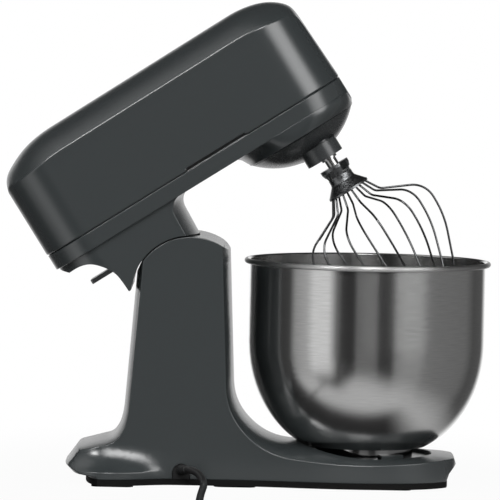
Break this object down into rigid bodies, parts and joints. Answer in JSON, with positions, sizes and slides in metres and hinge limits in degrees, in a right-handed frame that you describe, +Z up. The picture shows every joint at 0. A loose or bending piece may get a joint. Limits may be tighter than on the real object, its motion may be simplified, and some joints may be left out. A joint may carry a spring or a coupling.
{
  "type": "stand mixer",
  "caption": "Tilt-head stand mixer with its head raised, a wire whisk on a planetary drive, a spun steel bowl on a bayonet seat, a release lever and a corded base.",
  "frame": {"origin": "on the floor, under the centre of the bounding box of everything but the free cord", "axes": "+X from the column towards the bowl, +Z up, and the cord leaves on the -Y side"},
  "size_m": [0.4464, 0.5463, 0.4416],
  "materials": {
    "body_grey": "satin",
    "black_plastic": "matte",
    "dome_grey": "satin",
    "rubber": "matte",
    "bowl_steel": "brushed",
    "steel": "satin",
    "wire_steel": "polished",
    "lever_metal": "satin",
    "gear_steel": "machined",
    "motor_iron": "matte",
    "copper": "satin",
    "case_alloy": "cast",
    "hub_alloy": "satin",
    "belt_rubber": "matte",
    "nylon": "matte",
    "cord_black": "satin",
    "board_green": "satin",
    "bronze": "satin"
  },
  "bodies": {
    "stand": {"stand_housing": "body_grey", "base_plate": "black_plastic", "rubber_feet": "rubber", "base_screws": "steel", "control_board": "board_green", "bowl_seat": "body_grey", "seat_screws": "steel", "hinge_bracket": "steel", "bracket_screws": "steel", "hinge_pin": "steel", "latch_sector": "steel", "speed_switch": "black_plastic", "cord_gland": "black_plastic", "power_cord": "cord_black", "cord_coil": "cord_black", "cord_tie": "black_plastic", "mains_plug": "black_plastic"},
    "head": {"head_upper_shell": "body_grey", "head_lower_shell": "body_grey", "hinge_bushes": "bronze", "head_screws": "steel", "lever_pin": "steel", "motor_lower_bracket": "case_alloy", "motor_upper_bracket": "case_alloy", "motor_stator": "motor_iron", "field_coils": "copper", "brush_holders": "bronze", "drive_belt": "belt_rubber", "gear_case": "case_alloy", "gear_case_cover": "case_alloy", "bearings": "steel", "layshaft_pin": "steel", "ring_gear": "gear_steel"},
    "lever": {"release_lever": "lever_metal"},
    "dial": {"speed_dial": "lever_metal"},
    "rotor": {"motor_armature": "motor_iron", "motor_fan": "nylon", "motor_pulley": "steel"},
    "pulley": {"driven_pulley": "nylon"},
    "layshaft": {"layshaft_gears": "gear_steel"},
    "carrier": {"spindle": "steel", "spindle_gear": "gear_steel", "planet_dome": "dome_grey"},
    "tool_drive": {"tool_shaft": "steel", "cross_pin": "steel", "planet_gear": "gear_steel"},
    "whisk": {"whisk_hub": "hub_alloy", "whisk_wires": "wire_steel"},
    "bowl_set": {"bowl": "bowl_steel", "bowl_collar": "bowl_steel"}
  },
  "joints": [
    {"name": "head_tilt", "type": "hinge", "parent": "stand", "child": "head", "pos_m": [-0.0514, 0, 0.1745], "axis": [0, 1, 0], "range_deg": [0, 32.7]},
    {"name": "lever_press", "type": "hinge", "parent": "head", "child": "lever", "pos_m": [-0.102, 0, 0.21629], "axis": [0, -1, 0], "range_deg": [0, 12], "stiffness_Nm_per_rad": 0.3, "springref_deg": -11.46},
    {"name": "dial_turn", "type": "hinge", "parent": "stand", "child": "dial", "pos_m": [-0.062, 0.0656, 0.118], "axis": [0, 1, 0], "range_deg": [0, 270]},
    {"name": "carrier_spin", "type": "hinge", "parent": "head", "child": "carrier", "pos_m": [0.04669, 0, 0.32066], "axis": [-0.5402, 0, 0.8415], "continuous": true},
    {"name": "layshaft_spin", "type": "hinge", "parent": "head", "child": "layshaft", "pos_m": [-0.00108, 0, 0.32564], "axis": [-0.5402, 0, 0.8415], "continuous": true},
    {"name": "pulley_spin", "type": "hinge", "parent": "head", "child": "pulley", "pos_m": [-0.00193, 0, 0.39639], "axis": [-0.5402, 0, 0.8415], "continuous": true},
    {"name": "motor_spin", "type": "hinge", "parent": "head", "child": "rotor", "pos_m": [-0.13474, 0, 0.2636], "axis": [-0.5402, 0, 0.8415], "continuous": true},
    {"name": "tool_spin", "type": "hinge", "parent": "carrier", "child": "tool_drive", "pos_m": [0.06633, -0.02488, 0.3095], "axis": [-0.5402, 0, 0.8415], "continuous": true},
    {"name": "whisk_twist", "type": "hinge", "parent": "tool_drive", "child": "whisk", "pos_m": [0.08253, -0.02488, 0.28425], "axis": [-0.5402, 0, 0.8415], "range_deg": [0, 50]},
    {"name": "bowl_twist", "type": "hinge", "parent": "stand", "child": "bowl_set", "pos_m": [0.1101, 0, 0.03], "axis": [0, 0, 1], "range_deg": [0, 28]}
  ],
  "couplings": [
    {"joint": "layshaft_spin", "follows": "carrier_spin", "ratio": -3},
    {"joint": "pulley_spin", "follows": "carrier_spin", "ratio": 9},
    {"joint": "motor_spin", "follows": "carrier_spin", "ratio": 22.5},
    {"joint": "tool_spin", "follows": "carrier_spin", "ratio": -3.25}
  ]
}
